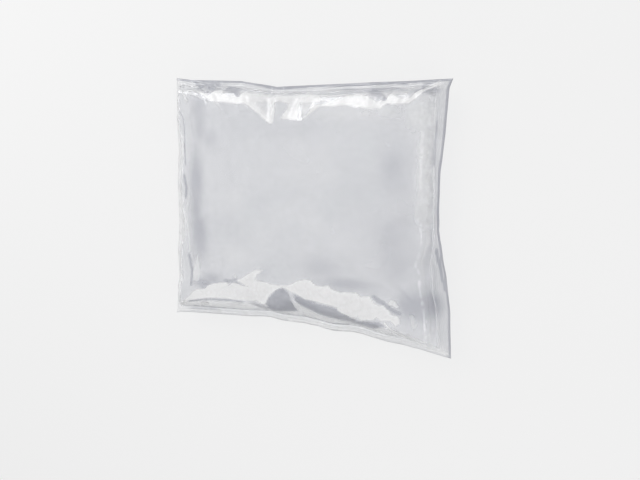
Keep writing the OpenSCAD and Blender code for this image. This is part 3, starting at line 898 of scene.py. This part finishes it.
def film_material(name, with_dry_and_highlights):
    mat = bpy.data.materials.new(name)
    mat.use_nodes = True
    tree = mat.node_tree
    tree.nodes.clear()
    links = tree.links
    out = tree.nodes.new("ShaderNodeOutputMaterial")
    where = tree.nodes.new("ShaderNodeTexCoord").outputs["Object"]
    from_weld = add_node(tree, "ShaderNodeAttribute", attribute_name="weld").outputs["Fac"]
    # Relief: fine crinkles all over, and the lines of the welding bar
    crinkle = tree.nodes.new("ShaderNodeGroup")
    crinkle.node_tree = film_crinkle
    crinkle.inputs["Size"].default_value = 90.0
    links.new(where, crinkle.inputs["Vector"])
    lines = tree.nodes.new("ShaderNodeGroup")
    lines.node_tree = weld_lines
    lines.inputs["Spacing"].default_value = 1.4
    links.new(where, lines.inputs["Vector"])
    links.new(from_weld, lines.inputs["Distance"])
    relief = math_node(tree, "ADD", math_node(tree, "MULTIPLY", crinkle.outputs["Height"], 0.3),
                       math_node(tree, "MULTIPLY", lines.outputs["Height"], 0.5))
    bump = tree.nodes.new("ShaderNodeBump")
    bump.inputs["Strength"].default_value = 0.5
    bump.inputs["Distance"].default_value = 0.0003
    links.new(relief, bump.inputs["Height"])
    # The clear film: it lets light through, and mirrors a part that grows with the angle
    clear = tree.nodes.new("ShaderNodeBsdfTransparent")
    clear.inputs["Color"].default_value = (0.99, 0.991, 0.994, 1)
    gloss = tree.nodes.new("ShaderNodeBsdfAnisotropic")
    gloss.inputs["Color"].default_value = (1, 1, 1, 1)
    gloss.inputs["Roughness"].default_value = 0.07
    links.new(bump.outputs[0], gloss.inputs["Normal"])
    fresnel = tree.nodes.new("ShaderNodeFresnel")
    fresnel.inputs["IOR"].default_value = 1.5
    links.new(bump.outputs[0], fresnel.inputs["Normal"])
    # Only the side that the light comes in from mirrors. From inside the film, the Fresnel node
    # would send all slanting light back and trap it between the film's two walls.
    sides = tree.nodes.new("ShaderNodeNewGeometry")
    outer = math_node(tree, "SUBTRACT", 1.0, sides.outputs["Backfacing"])
    mirrored = math_node(tree, "MULTIPLY", fresnel.outputs[0], outer)
    film = tree.nodes.new("ShaderNodeMixShader")
    links.new(mirrored, film.inputs[0])
    links.new(clear.outputs[0], film.inputs[1])
    links.new(gloss.outputs[0], film.inputs[2])
    # How milky the film is: a little everywhere, more in the band and where shade is painted, most where dry or
    # painted white
    painted_band_shade = add_node(tree, "ShaderNodeAttribute", attribute_name="painted_band_shade").outputs["Fac"]
    in_band = ramp(tree, from_weld, 0.5, -0.6, 0.0, 1.0)
    band = math_node(tree, "MULTIPLY", in_band, math_node(tree, "ADD", math_node(tree, "MULTIPLY", painted_band_shade, 0.5), 0.12))
    haze_and_painted_light = math_node(tree, "MULTIPLY", cloud_node(tree, where, (22, 34, 20), 2.4), 0.15)
    haze_and_painted_light = math_node(tree, "ADD", haze_and_painted_light, band)
    painted_shade = add_node(tree, "ShaderNodeAttribute", attribute_name="painted_shade").outputs["Fac"]
    haze_and_painted_light = math_node(tree, "ADD", haze_and_painted_light, math_node(tree, "MULTIPLY", painted_shade, 0.6))
    # Painted shade: the band on some sides and the painted shade field make the film's colour bluish and darker
    painted_shade_share = math_node(tree, "MAXIMUM", math_node(tree, "MULTIPLY", in_band, painted_band_shade), ramp(tree, painted_shade, 0, 0.35, 0, 1))
    # Where the film is painted white, as dry film or a highlight, it is milkier and gets no painted shade
    if with_dry_and_highlights:
        white = add_node(tree, "ShaderNodeAttribute", attribute_name="white").outputs["Fac"]
        wrinkles = ramp(tree, crinkle.outputs["Height"], 0.0, 0.35, 0.68, 0.98)
        haze_and_painted_light = math_node(tree, "ADD", haze_and_painted_light, math_node(tree, "MULTIPLY", white, wrinkles), clamp=True)
        painted_shade_share = math_node(tree, "MULTIPLY", painted_shade_share, math_node(tree, "SUBTRACT", 1.0, white, clamp=True))
    # The veil's colour, from near white to the bluish colour of painted shade
    colour = blend_colours(tree, painted_shade_share, (0.96, 0.962, 0.97, 1), (0.46, 0.47, 0.52, 1))
    milky = tree.nodes.new("ShaderNodeBsdfPrincipled")
    milky.inputs["Roughness"].default_value = 0.35
    links.new(colour, milky.inputs["Base Color"])
    links.new(bump.outputs[0], milky.inputs["Normal"])
    veil = tree.nodes.new("ShaderNodeMixShader")
    links.new(haze_and_painted_light, veil.inputs[0])
    links.new(film.outputs[0], veil.inputs[1])
    links.new(milky.outputs[0], veil.inputs[2])
    links.new(lit_through(tree, veil.outputs[0], (0.985, 0.987, 0.99, 1)), out.inputs["Surface"])
    return mat


front_sheet.data.materials.append(film_material("clear_film_front", True))
back_sheet.data.materials.append(film_material("clear_film_back", False))

# %% [markdown]
# ## The gel's material
#
# The gel bends light as water does, and is faintly milky, so that slopes that face away from the
# lamps look a little darker. Light that goes on to the floor passes straight through instead,
# because bent light would need far too many samples to settle.

# %% The gel's material


def glass_part(name, ior, tint, rough):
    mat = bpy.data.materials.new(name)
    mat.use_nodes = True
    tree = mat.node_tree
    glass = tree.nodes["Principled BSDF"]
    glass.inputs["Base Color"].default_value = tint
    glass.inputs["Roughness"].default_value = rough
    glass.inputs["IOR"].default_value = ior
    glass.inputs["Transmission Weight"].default_value = 1.0
    return mat, tree, glass


def gel_material():
    mat, tree, glass = glass_part("clear_gel", 1.34, (0.965, 0.968, 0.98, 1), 0.16)
    links = tree.links
    where = tree.nodes.new("ShaderNodeTexCoord").outputs["Object"]
    share = ramp(tree, cloud_node(tree, where, (24, 42, 30), 2.2), 0, 1, 0.14, 0.30)
    colour = blend_colours(tree, cloud_node(tree, where, (13, 19, 15), 2.6),
                           (0.67, 0.675, 0.71, 1), (0.88, 0.88, 0.90, 1))
    milky = tree.nodes.new("ShaderNodeBsdfPrincipled")
    milky.inputs["Roughness"].default_value = 0.3
    milky.inputs["Specular IOR Level"].default_value = 0.25
    links.new(colour, milky.inputs["Base Color"])
    cloudy = tree.nodes.new("ShaderNodeMixShader")
    links.new(share, cloudy.inputs[0])
    links.new(glass.outputs[0], cloudy.inputs[1])
    links.new(milky.outputs[0], cloudy.inputs[2])
    surface = lit_through(tree, cloudy.outputs[0], (0.9, 0.905, 0.915, 1))
    links.new(surface, tree.nodes["Material Output"].inputs["Surface"])
    return mat


def bubble_material():
    mat, tree, glass = glass_part("air_bubble", 0.746, (1, 1, 1, 1), 0.03)
    surface = lit_through(tree, glass.outputs[0], (1, 1, 1, 1))
    tree.links.new(surface, tree.nodes["Material Output"].inputs["Surface"])
    return mat


gel_body.data.materials.append(gel_material())
bubbles.data.materials.append(bubble_material())

# %% [markdown]
# ## The studio
#
# A pale floor, a large soft light beyond the top of the pack that its upper slope mirrors, a soft
# panel beyond the bottom, and a weaker one at the right, which keeps that steep side bright.

# %% Floor and background


def seen_directly(tree):
    """1 for rays that the camera sees, also mirrored or through the gel, and 0 for lighting."""
    path = tree.nodes.new("ShaderNodeLightPath")
    direct = math_node(tree, "MAXIMUM", path.outputs["Is Camera Ray"], path.outputs["Is Transmission Ray"])
    return math_node(tree, "MAXIMUM", direct, path.outputs["Is Glossy Ray"])


def make_floor():
    ground = bmesh.new()
    bmesh.ops.create_grid(ground, x_segments=1, y_segments=1, size=4)
    floor = add_piece(ground, "floor")
    floor.data.transform(Matrix.Translation((0, 0, -0.0002)))
    mat = bpy.data.materials.new("pale_floor")
    mat.use_nodes = True
    paint = mat.node_tree.nodes["Principled BSDF"]
    paint.inputs["Base Color"].default_value = (0.90, 0.90, 0.90, 1)
    paint.inputs["Roughness"].default_value = 0.9
    paint.inputs["Specular IOR Level"].default_value = 0.1
    # The camera sees a floor that is more even than the light on it, and so it does, less, through
    # the pack. The part that isn't even keeps the pack's shadow.
    tree = mat.node_tree
    even = tree.nodes.new("ShaderNodeEmission")
    even.inputs["Color"].default_value = (0.96, 0.96, 0.96, 1)
    path = tree.nodes.new("ShaderNodeLightPath")
    straight = math_node(tree, "MULTIPLY", path.outputs["Is Camera Ray"], 0.65)
    bent = math_node(tree, "MULTIPLY", seen_directly(tree), 0.30)
    both = tree.nodes.new("ShaderNodeMixShader")
    tree.links.new(math_node(tree, "MAXIMUM", straight, bent), both.inputs[0])
    tree.links.new(paint.outputs[0], both.inputs[1])
    tree.links.new(even.outputs[0], both.inputs[2])
    tree.links.new(both.outputs[0], tree.nodes["Material Output"].inputs["Surface"])
    floor.data.materials.append(mat)
    return floor


floor = make_floor()


def make_world():
    world = bpy.data.worlds.new("studio")
    scene.world = world
    world.use_nodes = True
    tree = world.node_tree
    light = tree.nodes["Background"]
    light.inputs["Color"].default_value = (1, 1, 1, 1)
    light.inputs["Strength"].default_value = 0.25
    seen = tree.nodes.new("ShaderNodeBackground")
    seen.inputs["Color"].default_value = (0.9, 0.9, 0.9, 1)
    choose = tree.nodes.new("ShaderNodeMixShader")
    tree.links.new(seen_directly(tree), choose.inputs[0])
    tree.links.new(light.outputs[0], choose.inputs[1])
    tree.links.new(seen.outputs[0], choose.inputs[2])
    tree.links.new(choose.outputs[0], tree.nodes["World Output"].inputs["Surface"])


make_world()

# %% Lights


def soft_light(name, at, aim, width, height, radiance):
    """A softbox, given by how bright it looks. Its power follows from that and from its size."""
    data = bpy.data.lights.new(name, "AREA")
    data.shape = "RECTANGLE"
    data.size, data.size_y = width, height
    data.energy = radiance * math.pi * width * height
    lamp = bpy.data.objects.new(name, data)
    lamp.location = at
    lamp.rotation_euler = (Vector(aim) - Vector(at)).to_track_quat("-Z", "Y").to_euler()
    scene.collection.objects.link(lamp)
    print(name, "power", round(data.energy, 2), "W")
    return lamp


soft_light("top_key", (-0.49, 0.56, 0.67), (0, 0, 0), 0.95, 0.5, 4.0)
soft_light("side_panel", (0.30, -0.75, 0.75), (0, 0, 0), 0.6, 0.6, 2.0)
soft_light("right_fill", (0.95, 0.05, 0.50), (0, 0, 0), 0.5, 0.9, 2.2)

# %% [markdown]
# ## The camera
#
# Its place and turn come from fitting the four corners of the pack in the photograph.

# %% Camera


def make_camera():
    data = bpy.data.cameras.new("camera")
    data.sensor_width = 36.0
    data.lens = 50.625
    camera = bpy.data.objects.new("camera", data)
    right = Vector((0.858, 0.0045, -0.5136))
    up = Vector((-0.0932, 0.9847, -0.147))
    back = right.cross(up)
    turn = Matrix((right, up, back)).transposed().to_4x4()
    camera.matrix_world = Matrix.Translation((0.2955, 0.0788, 0.4826)) @ turn
    scene.collection.objects.link(camera)
    scene.camera = camera
    return camera


camera = make_camera()
scene.view_settings.view_transform = "Standard"
scene.cycles.transparent_max_bounces = 32
scene.cycles.caustics_reflective = False
scene.cycles.caustics_refractive = False

# %% [markdown]
# ## Tie the pieces to the frame

# %% Finish
for piece, node, slot in ((front_sheet, "front_film", "film"), (back_sheet, "back_film", "film"),
                          (gel_body, "gel_fill", "gel")):
    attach(piece, "root")
    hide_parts(node)
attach(bubbles, "root")
